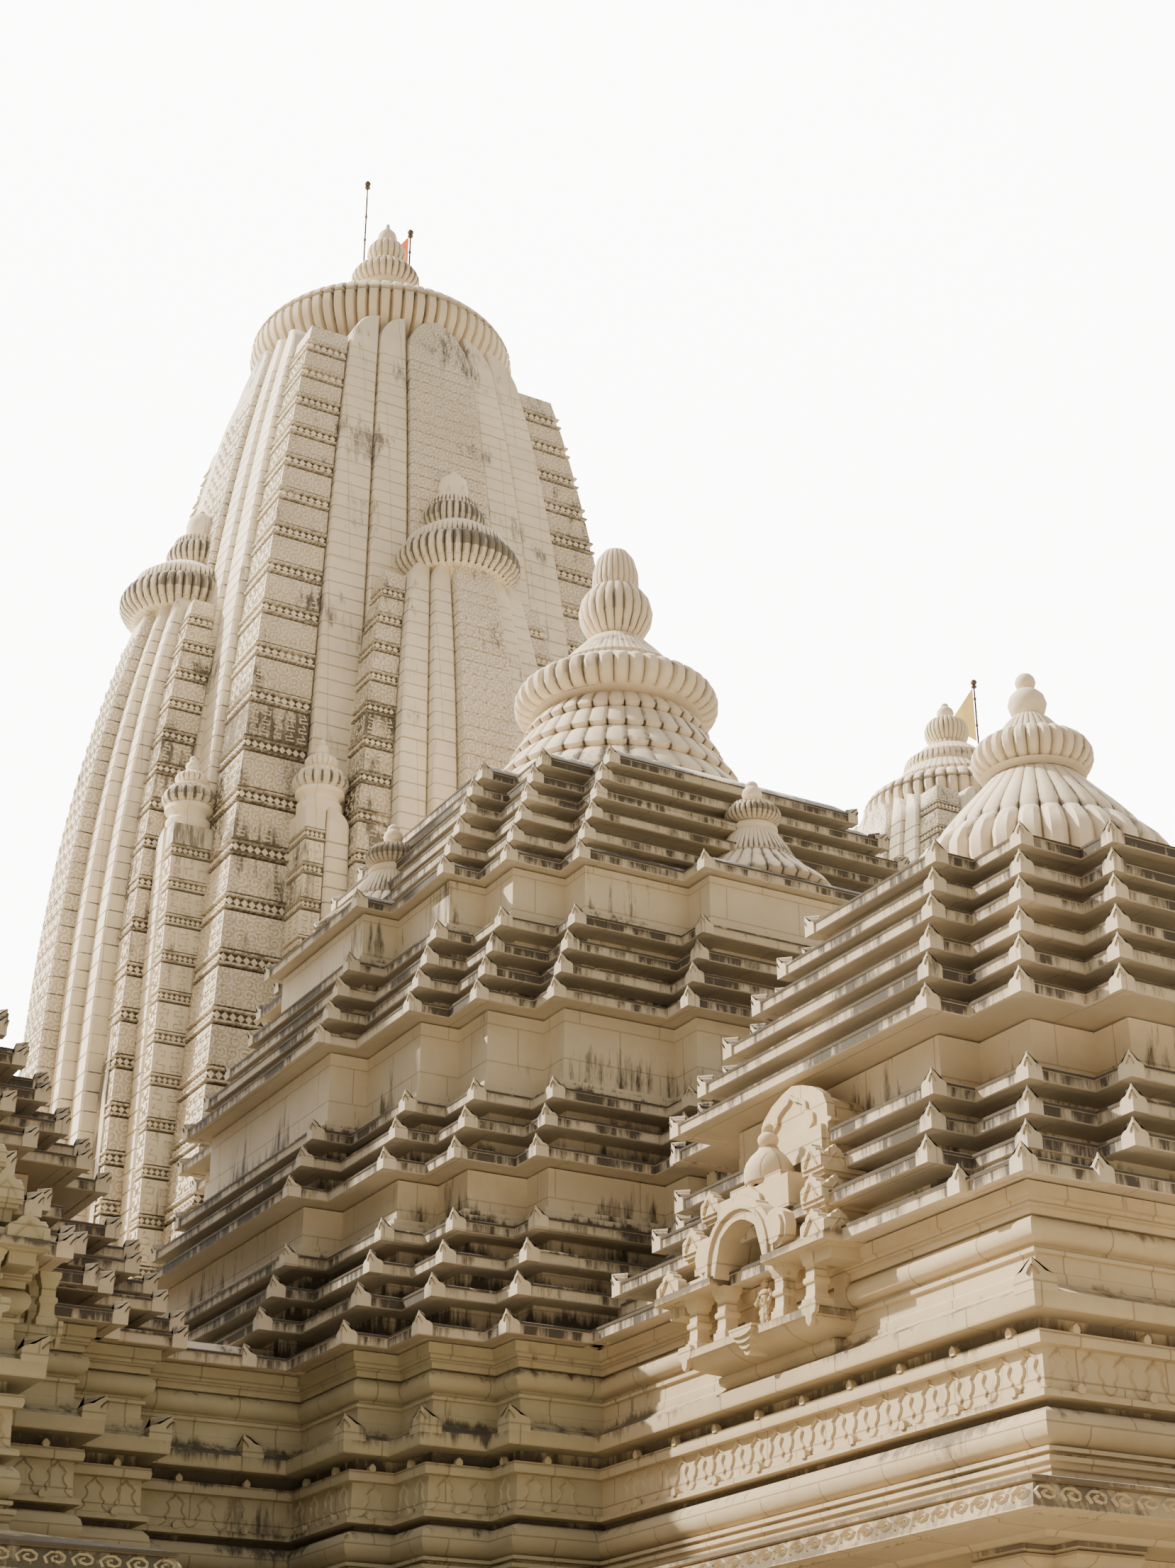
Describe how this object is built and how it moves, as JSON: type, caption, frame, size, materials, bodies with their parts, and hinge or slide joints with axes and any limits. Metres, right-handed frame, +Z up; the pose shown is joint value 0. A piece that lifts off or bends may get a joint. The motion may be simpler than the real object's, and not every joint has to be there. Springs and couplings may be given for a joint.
{
  "type": "stone hindu temple with stepped halls and curved towers",
  "caption": "Stone temple with stepped pyramid-roofed halls around a middle hall, a tall curved tower with a ribbed disc crown and a smaller tower behind each side hall.",
  "frame": {"origin": "on the ground under the centre of the middle hall", "axes": "+Z up, the front hall faces -Y, the main tower stands on +Y, the side halls lie on -X and +X"},
  "size_m": [32.92, 30.92, 36.08],
  "materials": {
    "wall_stone": "pale sandstone blocks with fine joints, lightly weathered",
    "roof_stone": "pale sandstone with black rain streaks on the eave edges",
    "tower_stone": "pale smooth stone courses with carved bands",
    "crown_stone": "pale ribbed stone",
    "plinth_stone": "worn sandstone paving and plinth",
    "pole_metal": "dull brown metal",
    "orange_cloth": "thin orange cotton",
    "yellow_cloth": "thin pale yellow cotton"
  },
  "bodies": {
    "root": {"plinth": "plinth_stone", "middle_hall_wall_front_left": "wall_stone", "middle_hall_wall_back_left": "wall_stone", "middle_hall_wall_front_right": "wall_stone", "middle_hall_wall_back_right": "wall_stone", "middle_hall_entablature": "wall_stone", "middle_hall_roof_lowest_tiers": "roof_stone", "middle_hall_roof_second_tiers": "roof_stone", "middle_hall_roof_third_tiers": "roof_stone", "middle_hall_roof_top_tiers": "roof_stone", "middle_hall_front_bell_turret": "wall_stone", "middle_hall_left_bell_turret": "wall_stone", "middle_hall_right_bell_turret": "wall_stone", "middle_hall_crown": "crown_stone", "front_hall_columns": "wall_stone", "front_hall_entablature": "wall_stone", "front_hall_roof_lower_tiers": "roof_stone", "front_hall_roof_upper_tiers": "roof_stone", "front_hall_crown": "crown_stone", "front_hall_balcony_front": "wall_stone", "front_hall_balcony_left": "wall_stone", "front_hall_balcony_right": "wall_stone", "left_hall_columns": "wall_stone", "left_hall_entablature": "wall_stone", "left_hall_roof": "roof_stone", "left_hall_crown": "crown_stone", "left_hall_balcony_front": "wall_stone", "left_hall_balcony_outer": "wall_stone", "left_tower_base": "wall_stone", "left_tower_shaft": "tower_stone", "left_tower_crown": "crown_stone", "right_hall_columns": "wall_stone", "right_hall_entablature": "wall_stone", "right_hall_roof": "roof_stone", "right_hall_crown": "crown_stone", "right_hall_balcony_front": "wall_stone", "right_hall_balcony_outer": "wall_stone", "right_tower_base": "wall_stone", "right_tower_shaft": "tower_stone", "right_tower_crown": "crown_stone", "right_tower_flag_pole": "yellow_cloth", "right_tower_flag": "yellow_cloth", "tower_base_left": "wall_stone", "tower_base_right": "wall_stone", "tower_base_back": "wall_stone", "tower_entablature": "wall_stone", "tower_shaft": "tower_stone", "tower_front_half_tower": "tower_stone", "tower_right_half_tower": "tower_stone", "tower_back_half_tower": "tower_stone", "tower_left_half_tower": "tower_stone", "tower_crown": "crown_stone", "tower_pole": "pole_metal", "tower_flag_pole": "orange_cloth", "tower_flag": "orange_cloth"}
  },
  "joints": []
}
